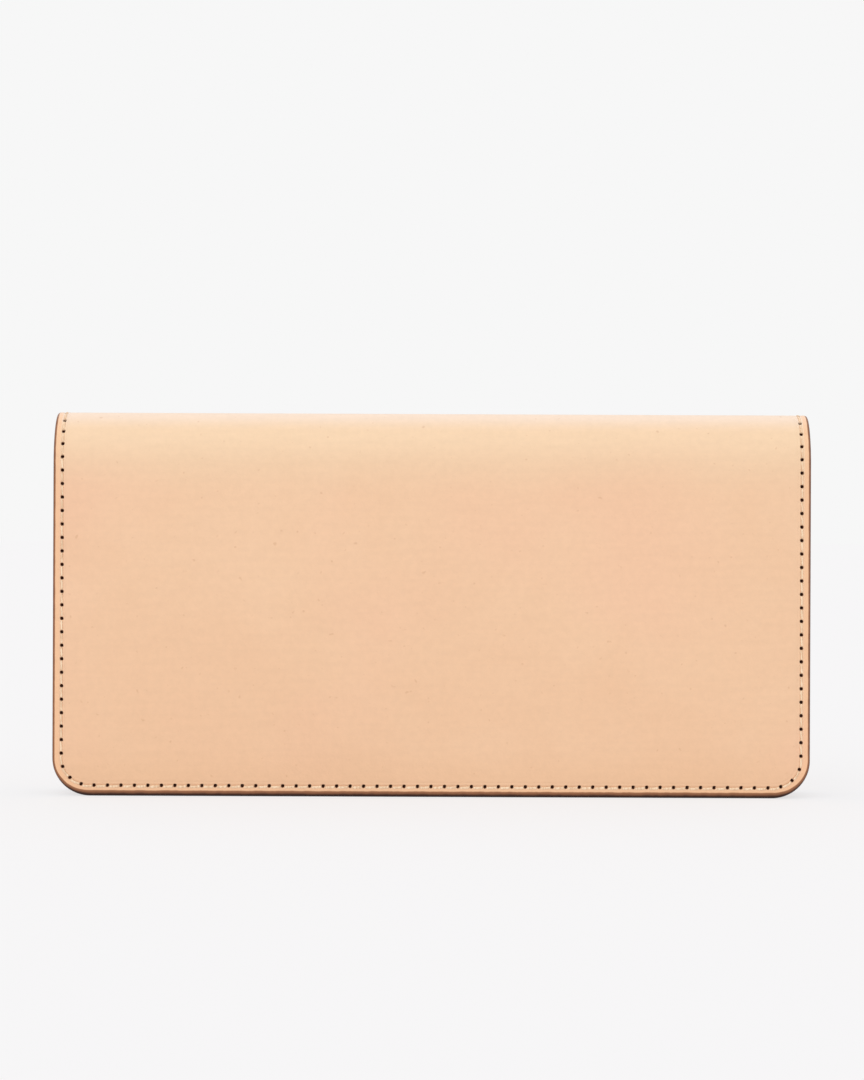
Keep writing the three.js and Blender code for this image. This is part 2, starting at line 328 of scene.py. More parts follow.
def triangulate(sheet, loops, depth, keep, gap=5.0):
    """Fills the area between loops of point numbers with triangles on a grid of extra points."""
    numbers = [i for loop in loops for i in loop]
    flat = [Vector(sheet.points[i][:2]) for i in numbers]
    edges = loop_edges(loops)
    low_x, high_x = min(c.x for c in flat), max(c.x for c in flat)
    low_v, high_v = min(c.y for c in flat), max(c.y for c in flat)
    columns = max(2, round((high_x - low_x) / gap))
    lines = max(2, round((high_v - low_v) / gap))
    for i in range(1, columns):
        for j in range(1, lines):
            x = lerp(low_x, high_x, i / columns)
            v = lerp(low_v, high_v, j / lines)
            if keep(x, v, gap * 0.5):
                numbers.append(sheet.point(x, v, depth))
                flat.append(Vector((x, v)))
    made = geometry.delaunay_2d_cdt(flat, edges, [], 1, 1e-6)
    places, triangles, origins = made[0], made[2], made[3]
    for triangle in triangles:
        middle = sum((places[i] for i in triangle), Vector((0, 0))) / 3
        if keep(middle.x, middle.y, 0.0):
            corners = [origins[i][0] for i in triangle if origins[i]]
            if len(set(corners)) == 3:
                sheet.faces.append(tuple(numbers[i] for i in corners))


# ---------------- outer leather

BAND = 5.0  # width of the detailed band along the edges
CENTRE_X = [lerp(-WIDTH / 2 + BAND, WIDTH / 2 - BAND, i / 40) for i in range(41)]
BULGE = 0.3  # how far the middle of a cover swells outwards
FACE_REACH = 0.25  # points of a profile this near the visible face are pushed into the holes

# How burnished the rounded edge is, from the side of the edge to the face. Along the bottom the values
# # run higher, into a painted contact shadow
SIDE_BURNISH = (1.6, 1.6, 1.55, 1.45, 1.3, 1.15, 0.95, 0.6, 0.08)
# Along the bottom: burnish running into a painted contact shadow
BOTTOM_BURNISH_AND_SHADOW = (2.2, 2.2, 2.2, 2.1, 1.85, 1.5, 1.15, 0.7, 0.08)


def bulge(x, v):
    """How far the flat part of a cover swells outwards."""
    from_side = WIDTH / 2 - abs(x) - BAND
    from_end = min(v, V_END - v) - BAND
    from_fold = max(PANEL_TOP - v, v - (V_END - PANEL_TOP)) - 2
    wave = 0.04 * math.sin(x / 17 + v / 31) + 0.03 * math.sin(v / 13 - x / 41)
    share = smooth(from_side / 30) * smooth(from_end / 25) * smooth(from_fold / 20)
    return share * (BULGE + wave)


def cover_profile(bottom):
    """(inset, depth, edge) from the glued face round the burnished edge to the outside."""
    wide, high = lerp(0.72, 1.4, bottom), lerp(0.6, 1.05, bottom)
    # Along the bottom the side of the edge is marked for a painted contact shadow
    deep = lerp(1.6, 2.2, bottom)
    rows = [(BAND, COVER_T, 0), (1.5, COVER_T, 0), (0.2, COVER_T, deep), (0.05, COVER_T - 0.05, deep)]
    rows += [(0.0, COVER_T - 0.2, deep), (0.0, (COVER_T - 0.2 + high) / 2, deep)]
    for step, (side_edge, bottom_edge) in enumerate(zip(SIDE_BURNISH, BOTTOM_BURNISH_AND_SHADOW)):
        angle = math.radians(90 * step / 8)
        edge = lerp(side_edge, bottom_edge, bottom)
        rows.append((wide * (1 - math.cos(angle)), high * (1 - math.sin(angle)), edge))
    rows += [(1.5, 0.0, 0.08), (1.62, 0.0, 0.05)]
    for offset in NEAR_HOLE:
        share = smooth(1 - abs(offset) / GROOVE["half_width"])
        rows.append((STITCH_INSET + offset, GROOVE["depth"] * share, 0))
    rows += [(3.1, 0.0, 0), (3.22, 0.05, 0), (3.34, 0.0, 0)]
    return rows + [(3.8, 0.0, 0), (BAND, 0.0, 0)]


def lining_profile(_):
    """(inset, depth, edge) of the lining from its glued face round the edge, alike on every side."""
    glued, face = LINING
    rows = [(BAND, glued, 0), (1.0, glued, 0), (0.15, glued, 2), (0.0, glued + 0.08, 2)]
    rows += [(0.0, face - 0.2, 1.8), (0.04, face - 0.08, 1.5), (0.15, face - 0.01, 1)]
    rows += [(0.3, face, 0.4), (0.42, face, 0), (1.2, face, 0)]
    rows += [(STITCH_INSET + offset, face, 0) for offset in (-0.75, *NEAR_HOLE, 0.75)]
    return rows + [(3.6, face, 0), (BAND, face, 0)]


def pierced(sheet, x, v, row, layer):
    """Adds a point of a profile, pushed in where a hole is punched in the visible face."""
    _, depth, edge = row
    deep = pierce(layer["tree"], x, v) if abs(depth - layer["face"]) < FACE_REACH else 0.0
    return sheet.point(x, v, depth + layer["inwards"] * deep * layer["hole_depth"], edge, deep)


def panel(name, layer, back):
    """One flat half of the cover or its lining, up to the fold, with its edge and punched holes."""
    sheet = Sheet()
    end = p_at_height(PANEL_TOP)
    rows = []
    for p in stations(-end, end, COARSE):
        profile = layer["profile"](bottomness(p))
        rows.append([pierced(sheet, *loop_point(p, row[0]), row, layer) for row in profile])
    sheet.loft(rows)

    def inside(x, v, margin):
        across = abs(x) < WIDTH / 2 - BAND - margin
        return across and BAND + BOTTOM_LIFT + margin < v < PANEL_TOP - margin

    for column in (0, -1):
        depth = layer["profile"](0)[column][1]
        ring = [row[column] for row in rows]
        across = [sheet.point(x, PANEL_TOP, depth) for x in reversed(CENTRE_X[1:-1])]
        triangulate(sheet, [ring + across], depth, inside)
    if back:
        sheet.points = [(x, V_END - v, depth) for x, v, depth in sheet.points]
    if layer["face"] == 0:
        sheet.points = [(x, v, depth - bulge(x, v)) for x, v, depth in sheet.points]
    return sheet.piece(name, layer["material"], layer["slot"])


def zone_limits(zone):
    """(v, v) ends of the stretch of fold given to one joint; zone 1 is at the back."""
    return v_at(math.pi * zone / JOINTS), v_at(math.pi * (zone - 1) / JOINTS)


def zone_blend(piece, zone):
    """Bakes the placement of a piece of the fold into its mesh. The zone is not used."""
    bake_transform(piece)


def zone_places(zone):
    """Places v of the rows across one stretch of fold, with close rows at its ends."""
    low, high = zone_limits(zone)
    shift = p_at_height(0)
    found = [p - shift for p in stations(low + shift, high + shift, FINE)]
    found = [v for v in found if low + 0.12 < v < high - 0.12]
    return [low, low + 0.05, *found, high - 0.05, high]


def fold_sheet(name, zone, layer):
    """A stretch of the fold of one layer, over the zone of one joint."""
    sheet = Sheet()
    profile = layer["profile"](0)
    rows = []
    for v in zone_places(zone):
        row = []
        for side, part in ((-1, profile), (1, profile[::-1])):
            row += [pierced(sheet, side * (WIDTH / 2 - line[0]), v, line, layer) for line in part]
            if side < 0:
                row += [sheet.point(x, v, profile[-1][1]) for x in CENTRE_X[1:-1]]
        row += [sheet.point(x, v, profile[0][1]) for x in reversed(CENTRE_X[1:-1])]
        rows.append(row)
    sheet.loft(rows, closed=True)
    piece = sheet.piece(name, layer["material"], layer["slot"])
    zone_blend(piece, zone)
    return piece


# ---------------- stitches


def thread_ring(sheet, p, inset, depth, twist, point_at):
    """One ring of a two-ply thread."""
    ring = []
    sides = THREAD["sides"]
    for i in range(sides):
        angle = 2 * math.pi * i / sides
        swell = 1 + 0.12 * math.cos(2 * (angle - twist))
        across = THREAD["half_width"] * swell * math.cos(angle)
        up = THREAD["half_height"] * swell * math.sin(angle)
        x, v = point_at(p, inset + across)
        ring.append(sheet.point(x, v, depth + up))
    return ring


STITCH_LEAN = 0.1  # how far each end of a stitch lies off the sewn line
PLY_TWIST = 9  # turn of the two plies along a stitch, in radians
DIVE = [0.11, 0.12, 0.132, 0.15, 0.175, 0.21, 0.27, 0.36]
STITCH_SHARES = DIVE + [0.5] + [1 - share for share in reversed(DIVE)]


def stitch_line(share):
    """0 where a stitch goes down into a hole, 1 where it lies on the leather."""
    return math.sqrt(smooth((min(share, 1 - share) - 0.105) / 0.09))


def add_stitch(sheet, start, surface_at, facing, point_at=loop_point, pitch=PITCH, cuts=(), away=0.0):
    """One stitch from the hole at start to the next; facing is -1 outside and 1 inside the wallet."""
    places = [(start + share * pitch, share) for share in STITCH_SHARES]
    spare = STITCH_SHARES[0] * pitch
    places += [(p, (p - start) / pitch) for p in cuts if start + spare < p < start + pitch - spare]
    rings = []
    for p, share in sorted(places):
        up = stitch_line(share)
        surface = surface_at(p)
        depth = surface + facing * (THREAD["half_height"] * 0.8 * up - 0.5 * (1 - up))
        inset = STITCH_INSET + STITCH_LEAN * (2 * share - 1) - away * up
        rings.append(thread_ring(sheet, p, inset, depth, share * PLY_TWIST, point_at))
    return rings


# ---------------- materials


class Shader:
    """Adds and links the nodes of one material."""

    def __init__(self, name):
        self.material = bpy.data.materials.new(name)
        self.material.use_nodes = True
        self.tree = self.material.node_tree
        self.surface = self.tree.nodes["Principled BSDF"]

    def node(self, kind, inputs=None, output=0, **settings):
        """Adds a node; inputs are numbers, colours or other sockets. Returns one of its outputs."""
        made = self.tree.nodes.new("ShaderNode" + kind)
        for key, value in settings.items():
            setattr(made, key, value)
        for key, value in (inputs or {}).items():
            self.give(made.inputs[key], value)
        return made.outputs[output]

    def give(self, socket, value):
        if isinstance(value, bpy.types.NodeSocket):
            self.tree.links.new(value, socket)
        else:
            socket.default_value = value

    def set(self, **values):
        """Sets inputs of the surface shader; underscores stand for spaces."""
        for key, value in values.items():
            self.give(self.surface.inputs[key.replace("_", " ")], value)

    def noise(self, vector, scale, detail=3.0, roughness=0.5, distortion=0.0):
        inputs = {"Vector": vector, "Scale": scale, "Detail": detail, "Roughness": roughness}
        return self.node("TexNoise", {**inputs, "Distortion": distortion})

    def span(self, value, low, high, to_low=0.0, to_high=1.0):
        """Maps a value from one range to another, clamped and smooth."""
        inputs = {"Value": value, "From Min": low, "From Max": high, "To Min": to_low, "To Max": to_high}
        return self.node("MapRange", inputs, interpolation_type="SMOOTHSTEP")

    def math(self, operation, a, b=0.0):
        return self.node("Math", {0: a, 1: b}, operation=operation)

    def mix(self, share, a, b, blend="MIX"):
        made = self.tree.nodes.new("ShaderNodeMix")
        made.data_type = "RGBA"
        made.blend_type = blend
        self.give(made.inputs[0], share)
        self.give(made.inputs[6], a)
        self.give(made.inputs[7], b)
        return made.outputs[2]

    def stretch(self, vector, scale, offset=(0, 0, 0)):
        return self.node("Mapping", {"Vector": vector, "Scale": scale, "Location": offset})

    def attribute(self, name, output):
        return self.node("Attribute", output=output, attribute_name=name)

    def bump(self, height, distance, strength=1.0):
        return self.node("Bump", {"Height": height, "Distance": distance, "Strength": strength})


def rgb(red, green, blue):
    """An sRGB colour from 0 to 255 as linear light."""
    linear = []
    for value in (red / 255, green / 255, blue / 255):
        linear.append(value / 12.92 if value <= 0.04045 else ((value + 0.055) / 1.055) ** 2.4)
    return (*linear, 1.0)


TONES = {
    # painted highlight: paler round the fold, where the light from above falls
    "fold": rgb(235, 205, 170),
    # partly painted shade, partly the leather's own tone: darker near the bottom edges
    "low": rgb(226, 182, 144),
    # painted highlight along the very top of the fold
    "painted_top_highlight": rgb(236, 216, 201),
    "speck": rgb(196, 146, 108),
    "rim": rgb(240, 188, 145),
    "tan": rgb(146, 94, 61),
    "brown": rgb(54, 25, 14),
    # painted contact shadow along the bottom edge
    "painted_contact_shadow": rgb(28, 11, 7),
    # painted shade in the stitch holes
    "hole": rgb(84, 40, 22),
}


def leather(name, light, deep, blush, roughness, grain, painted_top_highlight=0.0, rim=0.0):
    """Smooth vegetable-tanned leather: cloudy tone, brush marks, pores, specks, dark edges and holes.
    Along the bottom the dark edges run into a painted contact shadow, and the holes are painted with shade.
    It is darker towards the bottom edges, partly painted shade and partly its own tone. Round the fold it
    is painted paler as a painted highlight, and the top highlight argument is how far its very top is
    painted paler still. Rim is how far the strip outside the stitching is warmed."""
    s = Shader(name)
    hide = s.attribute("hide", "Vector")
    place_v = s.node("SeparateXYZ", {0: hide}, output=1)
    from_fold = s.math("ABSOLUTE", s.math("SUBTRACT", place_v, V_END * MM / 2))
    # Darker towards the bottom edges: partly painted shade, partly the leather's own tone
    height = s.span(from_fold, 0.018, 0.098)
    cloud = s.noise(hide, 26, detail=4, roughness=0.55, distortion=0.6)
    tone = s.math("ADD", s.math("MULTIPLY", height, 0.35), s.math("MULTIPLY", cloud, 0.9))
    colour = s.mix(s.span(tone, 0.15, 1.1), light, deep)
    warm = s.span(s.noise(s.stretch(hide, (1, 1, 1), (3, 1, 0)), 14, detail=2), 0.42, 0.68, 0.0, 0.55)
    colour = s.mix(warm, colour, blush)
    # Painted highlight: paler round the fold, where the light from above falls
    colour = s.mix(s.span(from_fold, 0.026, 0.008, 0.0, 0.8), colour, TONES["fold"])
    # Darker still near the bottom edges: partly painted shade, partly the leather's own tone
    colour = s.mix(s.span(from_fold, 0.086, 0.0985, 0.0, 0.6), colour, TONES["low"])
    # Painted highlight: the very top of the fold paler still
    colour = s.mix(s.span(from_fold, 0.0085, 0.003, 0.0, painted_top_highlight), colour, TONES["painted_top_highlight"])
    brush = s.noise(s.stretch(hide, (60, 700, 1)), 1.0, detail=3)
    fibre = s.noise(hide, 520, detail=5, roughness=0.7)
    value = s.math("ADD", s.span(brush, 0.3, 0.7, 0.99, 1.008), s.span(fibre, 0.3, 0.7, -0.02, 0.02))
    colour = s.mix(1.0, colour, s.node("CombineXYZ", {0: value, 1: value, 2: value}), "MULTIPLY")
    speck = s.span(s.noise(s.stretch(hide, (1, 1, 1), (7, 2, 0)), 700, detail=1), 0.7, 0.82, 0.0, 0.32)
    colour = s.mix(speck, colour, TONES["speck"])
    edge = s.attribute("edge", "Fac")
    colour = s.mix(s.span(edge, 0.0, 0.08, 0.0, rim), colour, TONES["rim"])
    uneven = s.span(s.noise(hide, 420, detail=4), 0.3, 0.7, -0.1, 0.1)
    # Burnished edge colour, running into a painted contact shadow along the bottom edge
    burnish_and_painted_shadow = s.mix(s.span(s.math("ADD", edge, uneven), 0.9, 1.9), TONES["tan"], TONES["brown"])
    # Painted contact shadow: near black where the bottom edge meets the floor
    burnish_and_painted_shadow = s.mix(s.span(edge, 1.9, 2.2), burnish_and_painted_shadow, TONES["painted_contact_shadow"])
    colour = s.mix(s.span(s.math("ADD", edge, uneven), 0.1, 0.75), colour, burnish_and_painted_shadow)
    hole = s.attribute("hole", "Fac")
    # Painted shade in the stitch holes: darker the deeper in a hole
    colour = s.mix(s.span(hole, 0.02, 0.4), colour, TONES["hole"])
    sheen_marks = s.noise(s.stretch(hide, (60, 260, 1)), 1.0, detail=4)
    rough = s.span(sheen_marks, 0.3, 0.7, roughness - 0.05, roughness + 0.06)
    rough = s.math("SUBTRACT", rough, s.math("MULTIPLY", edge, 0.07))
    pores = s.node("TexVoronoi", {"Vector": hide, "Scale": 1500}, feature="SMOOTH_F1")
    wrinkles = s.noise(hide, 210, detail=6, roughness=0.62, distortion=0.8)
    relief = s.math("ADD", s.math("MULTIPLY", pores, 0.18), s.math("MULTIPLY", wrinkles, 0.6))
    relief = s.math("ADD", relief, s.math("MULTIPLY", s.noise(hide, 24, detail=2), 3.0))
    s.set(Base_Color=colour, Roughness=rough, Normal=s.bump(relief, grain * MM))
    s.set(IOR=1.45, Specular_IOR_Level=s.span(edge, 1.0, 2.0, 0.4, 0.12))
    s.set(Sheen_Weight=0.08, Sheen_Roughness=0.5)
    return s.material


def thread_material():
    """Cream waxed linen thread with fine slanting fibres."""
    s = Shader("thread")
    hide = s.attribute("hide", "Vector")
    slant = s.node("Mapping", {"Vector": hide, "Rotation": (0, 0, 0.7), "Scale": (2600, 500, 2600)})
    fibre = s.noise(slant, 1.0, detail=2)
    colour = s.mix(s.span(fibre, 0.3, 0.7), rgb(220, 184, 148), rgb(246, 219, 187))
    s.set(Base_Color=colour, Roughness=0.6, Normal=s.bump(fibre, 0.08 * MM))
    s.set(Sheen_Weight=0.2, Specular_IOR_Level=0.35)
    return s.material


OUTER_TONES = (rgb(235, 196, 161), rgb(230, 187, 151), rgb(235, 188, 156))
OUTER = leather("outer_leather", *OUTER_TONES, 0.44, grain=0.12, painted_top_highlight=0.6, rim=0.55)
LINING_LEATHER = leather(
    "lining_leather", rgb(232, 196, 160), rgb(222, 182, 144), rgb(226, 182, 148), 0.62, grain=0.1
)
POCKET = leather(
    "pocket_leather", rgb(240, 204, 168), rgb(230, 186, 146), rgb(234, 188, 156), 0.5, grain=0.1
)


def woven(name, warp, weft, shade, pitch, rough):
    """Plain cloth from two sets of threads across each other."""
    s = Shader(name)
    hide = s.attribute("hide", "Vector")
    x = s.node("SeparateXYZ", {0: hide}, output=0)
    v = s.node("SeparateXYZ", {0: hide}, output=1)
    turns = 2 * math.pi / (pitch * MM)
    across = s.math("SINE", s.math("MULTIPLY", x, turns))
    along = s.math("SINE", s.math("MULTIPLY", v, turns))
    over = s.span(s.math("MULTIPLY", across, along), -0.3, 0.3)
    thread = s.math("MAXIMUM", s.math("ABSOLUTE", across), s.math("ABSOLUTE", along))
    colour = s.mix(over, warp, weft)
    colour = s.mix(s.span(thread, 0.2, 0.75, 0.75, 0.0), colour, shade)
    worn = s.span(s.noise(hide, 60, detail=4), 0.35, 0.7, 0.0, 0.25)
    colour = s.mix(worn, colour, weft)
    height = s.math("ADD", thread, s.math("MULTIPLY", s.noise(hide, 3000), 0.3))
    s.set(Base_Color=colour, Roughness=rough, Normal=s.bump(height, 0.12 * MM))
    s.set(Sheen_Weight=0.15, Specular_IOR_Level=0.25)
    return s.material


def brass_material():
    """Satin brass with fine polishing lines and slightly dulled patches."""
    s = Shader("brass")
    where = s.node("TexCoord", output="Object")
    dull = s.span(s.noise(where, 350, detail=4), 0.35, 0.7)
    colour = s.mix(dull, rgb(222, 184, 110), rgb(196, 152, 84))
    lines = s.noise(s.stretch(where, (400, 400, 6000)), 1.0, detail=2)
    s.set(Base_Color=colour, Metallic=1.0, Roughness=s.span(dull, 0.0, 1.0, 0.2, 0.34))
    s.set(Normal=s.bump(lines, 0.02 * MM))
    return s.material


THREAD_FIBRE = thread_material()
COTTON = woven("cotton", rgb(226, 214, 192), rgb(214, 200, 176), rgb(170, 152, 126), 0.7, 0.9)
TAPE = woven("tape", rgb(196, 160, 122), rgb(182, 146, 108), rgb(120, 90, 62), 0.55, 0.8)
BRASS = brass_material()

# ---------------- outside of the wallet


OUTSIDE = {
    "profile": cover_profile,
    "face": 0.0,
    "inwards": 1,
    "hole_depth": HOLE["outer_depth"],
    "tree": hole_finder(LOOP_HOLES),
    "material": OUTER,
    "slot": "natural_leather",
}
INSIDE = {
    "profile": lining_profile,
    "face": LINING[1],
    "inwards": -1,
    "hole_depth": HOLE["inner_depth"],
    "tree": hole_finder(LOOP_HOLES),
    "material": LINING_LEATHER,
    "slot": "lining_leather",
}


def make_shell():
    """Outer leather and lining: a panel on each half and a stretch of fold for each joint."""
    for word, node, layer in (("leather", "cover", OUTSIDE), ("lining", "lining", INSIDE)):
        for half in ("front", "back"):
            piece = panel(f"{word}_{half}", layer, half == "back")
            stand_in(piece, f"{node}_{half}", f"{half}_half")
        for zone in range(1, JOINTS + 1):
            piece = fold_sheet(f"{word}_fold_{zone}", zone, layer)
            if zone < JOINTS:
                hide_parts(f"spine_{word}_{zone}")


def cut_by_zone(rings, sheets, source):
    """Shares the rings of a side stitch among the panel and fold sheets that they lie on."""
    limits = [(0.0, PANEL_TOP, "front")]
    limits += [(*zone_limits(zone), zone) for zone in range(JOINTS, 0, -1)]
    limits.append((V_END - PANEL_TOP, V_END, "back"))
    for low, high, key in limits:
        part = [ring for ring in rings if low - 1e-6 <= source.points[ring[0]][1] <= high + 1e-6]
        if len(part) < 2:
            continue
        target = sheets[key]
        rows = [[target.point(*source.points[i]) for i in ring] for ring in part]
        target.loft(rows, closed=True)


def sewing(surface_at, facing, away):
    """All stitches of the edge loop on one face, as a sheet for each half and each stretch of fold."""
    sheets = {key: Sheet() for key in ("front", "back", *range(1, JOINTS + 1))}
    shift = p_at_height(0)
    borders = {limit for zone in range(1, JOINTS + 1) for limit in zone_limits(zone)}
    cuts = [border + shift for border in borders]
    cuts += [-cut for cut in cuts]
    for i in range(-STITCHES, STITCHES):
        start = i * PITCH
        source = Sheet()
        middle = start + PITCH / 2
        aside = away * bottomness(middle) + 0.04
        rings = add_stitch(source, start, surface_at, facing, cuts=cuts, away=aside)
        cut_by_zone(rings, sheets, source)
    return sheets


def inside_depth(p):
    """Depth of the innermost layer under the sewn line, easing down at the edge of each pocket."""
    v = loop_point(p, STITCH_INSET)[1]
    front = v < V_END / 2
    height = v if front else V_END - v
    depth = LINING[1]
    for node in FRONT_LAYERS if front else BACK_LAYERS:
        on = 1 - smooth((height - top_mm(node) - 0.1) / 0.7)
        depth = lerp(depth, layer_mm(node)[1], on)
    return depth


def make_edge_stitches():
    """Stitches round the wallet, outside and inside."""
    outside = {"front": "edge_thread_front", "back": "edge_thread_back"}
    inside = {"front": "coin_edge_thread", "back": "card_edge_thread"}
    faces = (
        ("outside", lambda p: GROOVE["depth"], -1, 0.2, outside),
        ("inside", inside_depth, 1, 0.0, inside),
    )
    for word, surface_at, facing, away, nodes in faces:
        for key, sheet in sewing(surface_at, facing, away).items():
            if key in nodes:
                piece = sheet.piece(f"stitches_{word}_{key}", THREAD_FIBRE, "thread")
                stand_in(piece, nodes[key], f"{key}_half")
            else:
                zone_blend(sheet.piece(f"stitches_{word}_fold_{key}", THREAD_FIBRE, "thread"), key)


make_shell()
make_edge_stitches()

# ---------------- pockets

LEAF_BAND = 3.6  # width of the detailed band round a pocket leaf
POCKET_LOOK = (POCKET, "pocket_leather")
DIVIDER_START = 4.3


def rect_point(rect, p, out, line):
    """(x, z) beside a rounded rectangle; p runs round it along a line that lies outside it by line."""
    a, b, r = rect["half_length"] - rect["radius"], rect["half_height"] - rect["radius"], rect["radius"]
    arc = (r + line) * math.pi / 2
    legs = [(2 * a, (-a, -b), 0), (2 * b, (a, -b), 1), (2 * a, (a, b), 2), (2 * b, (-a, b), 3)]
    for length, (x, z), turn in legs:
        along = (math.cos(turn * math.pi / 2), math.sin(turn * math.pi / 2))
        outward = (along[1], -along[0])
        if p <= length:
            x, z = x + along[0] * p, rect["z"] + z + along[1] * p
            return x + outward[0] * (r + out), z + outward[1] * (r + out)
        p -= length
        x, z = x + along[0] * length, z + along[1] * length
        if p <= arc:
            angle = p / arc * math.pi / 2
            way = [outward[i] * math.cos(angle) + along[i] * math.sin(angle) for i in (0, 1)]
            return x + way[0] * (r + out), rect["z"] + z + way[1] * (r + out)
        p -= arc
    return rect_point(rect, p, out, line)


def rect_length(rect, line):
    """Length of the line round a rounded rectangle."""
    straight = 4 * (rect["half_length"] + rect["half_height"] - 2 * rect["radius"])
    return straight + 2 * math.pi * (rect["radius"] + line)


SEAM_OUT = 2.05  # from the edge of an opening to its seam
ZIP_WINDOW = {**WINDOW, "z": ZIP_Z, "line": SEAM_OUT}
ZIP_WINDOW["stitches"] = round(rect_length(ZIP_WINDOW, ZIP_WINDOW["line"]) / PITCH)
FRAME_HOLLOW = {"half_length": WIDTH / 2 - 6, "half_height": 34.0, "radius": 4.0, "z": 40.0}
FRAME_HOLLOW |= {"line": SEAM_OUT, "stitches": 120}


def rect_pitch(rect):
    return rect_length(rect, rect["line"]) / rect["stitches"]


def leaf_profile(outer, face, sewn):
    """(inset, depth, edge) of a pocket leaf from its hidden side round the edge to the other."""
    rows = [(LEAF_BAND, outer, 0), (0.5, outer, 0), (0.12, outer, 1.5), (0.0, outer + 0.12, 1.6)]
    rows += [(0.0, face - 0.2, 1.5), (0.05, face - 0.07, 1.2), (0.2, face, 0.7), (0.34, face, 0)]
    rows += [(0.95, face, 0), (1.05, face - 0.06, 0), (1.15, face, 0)]
    rows += [(sewn + offset, face, 0) for offset in (-0.75, *NEAR_HOLE, 0.75)]
    return rows + [(LEAF_BAND, face, 0)]


def rows_below(z):
    """Heights of the rows beside a divider hole: running sums of the offsets, none above the hole."""
    return list(itertools.accumulate(NEAR_HOLE, initial=z))[1:]


def leaf(name, node, body, holes=(), rect=None, look=POCKET_LOOK):
    """One flat pocket layer with creased edges and punched holes in place of a CAD layer.
    Rect is an opening in it, and look holds its material and a slot name."""
    low, high = box_mm(node)
    outer, face = layer_mm(node)
    top, x0, x1 = high[2], low[0], high[0]
    left_k = 1 if x0 < -1 - DIVIDER_X else (DIVIDER_X - x0) / STITCH_INSET
    right_k = 1 if x1 > 1 + DIVIDER_X else (x1 + DIVIDER_X) / STITCH_INSET
    sheet = Sheet()
    layer = {"face": face, "inwards": -1}
    layer["hole_depth"] = min(HOLE["inner_depth"], (face - outer) * 0.85)
    layer["tree"] = hole_finder(holes) if holes else None

    def clamp(spot, inset):
        """A place round the leaf, fixed or on the sewn line, kept inside the leaf's edges."""
        x, z = spot if isinstance(spot, tuple) else loop_point(spot, inset)
        x = min(max(x, x0 + inset * left_k), x1 - inset * right_k)
        return x, min(max(z, inset), top - inset)

    end = p_at_height(top)
    spread = COARSE if holes else [0.0, PITCH / 2]
    right = end if right_k == 1 else x1
    left = -end if left_k == 1 else x0
    walk = stations(left, right, spread)
    near_holes = {height for _, z in holes for height in rows_below(z)}
    heights = sorted(near_holes | set(range(4, int(top) - 2, 3)))
    heights = [z for z in heights if 1 < z < top - 1]
    if right_k != 1:
        walk += [(x1, z) for z in heights]
    walk += [(lerp(x1, x0, i / 60), top) for i in range(61)]
    if left_k != 1:
        walk += [(x0, z) for z in reversed(heights)]
    profile = leaf_profile(outer, face, STITCH_INSET)
    rows = []
    for spot in walk:
        rows.append([pierced(sheet, *clamp(spot, row[0]), row, layer) for row in profile])
    sheet.loft(rows + rows[:1])
    loops = {0: [[row[0] for row in rows]], -1: [[row[-1] for row in rows]]}
    if rect:
        pitch = rect_pitch(rect)
        length = pitch * rect["stitches"]
        around = [(i * pitch + offset) % length for i in range(rect["stitches"]) for offset in spread]
        profile = leaf_profile(outer, face, rect["line"])
        window_rows = []
        for p in sorted(around):
            places = [rect_point(rect, p, row[0], rect["line"]) for row in profile]
            points = [pierced(sheet, *place, row, layer) for place, row in zip(places, profile)]
            window_rows.append(points)
        sheet.loft(window_rows + window_rows[:1])
        for column, found in loops.items():
            found.append([row[column] for row in window_rows])

    def inside(x, z, margin):
        reach = LEAF_BAND + margin
        if x < x0 + reach * left_k or x > x1 - reach * right_k:
            return False
        if z < reach + BOTTOM_LIFT or z > top - reach:
            return False
        if rect is None:
            return True
        beyond_x = abs(x) - rect["half_length"] + rect["radius"]
        beyond_z = abs(z - rect["z"]) - rect["half_height"] + rect["radius"]
        return math.hypot(max(beyond_x, 0), max(beyond_z, 0)) > rect["radius"] + reach

    for column, found in loops.items():
        depth = profile[column][1]
        clean = [distinct(sheet, loop) for loop in found]
        triangulate(sheet, clean, depth, inside, gap=8.0)
    if body == "back_half":
        sheet.points = [(x, V_END - z, depth) for x, z, depth in sheet.points]
    stand_in(sheet.piece(name, *look), node, body)


def distinct(sheet, loop):
    """A loop of point numbers without repeats of the same place."""
    kept = []
    for i in loop:
        here = sheet.points[i][:2]
        if not kept or math.dist(here, sheet.points[kept[-1]][:2]) > 1e-4:
            kept.append(i)
    if math.dist(sheet.points[kept[0]][:2], sheet.points[kept[-1]][:2]) < 1e-4:
        kept.pop()
    return kept


def edge_holes(low, high, bottom):
    """Holes of the sewn line on one half between two heights, and along the bottom if it shows."""
    found = []
    for x, v in LOOP_HOLES:
        if v < V_END / 2 and low < v < high - 0.7 and (bottom or v > CORNER_R + 2):
            found.append((x, v))
    return found


def divider_holes(x, low, high):
    """Holes of a divider seam between two heights."""
    count = int((top_mm("bill_pocket") - DIVIDER_START) / PITCH)
    heights = [DIVIDER_START + i * PITCH for i in range(count)]
    return [(x, z) for z in heights if low < z < high - 0.7]


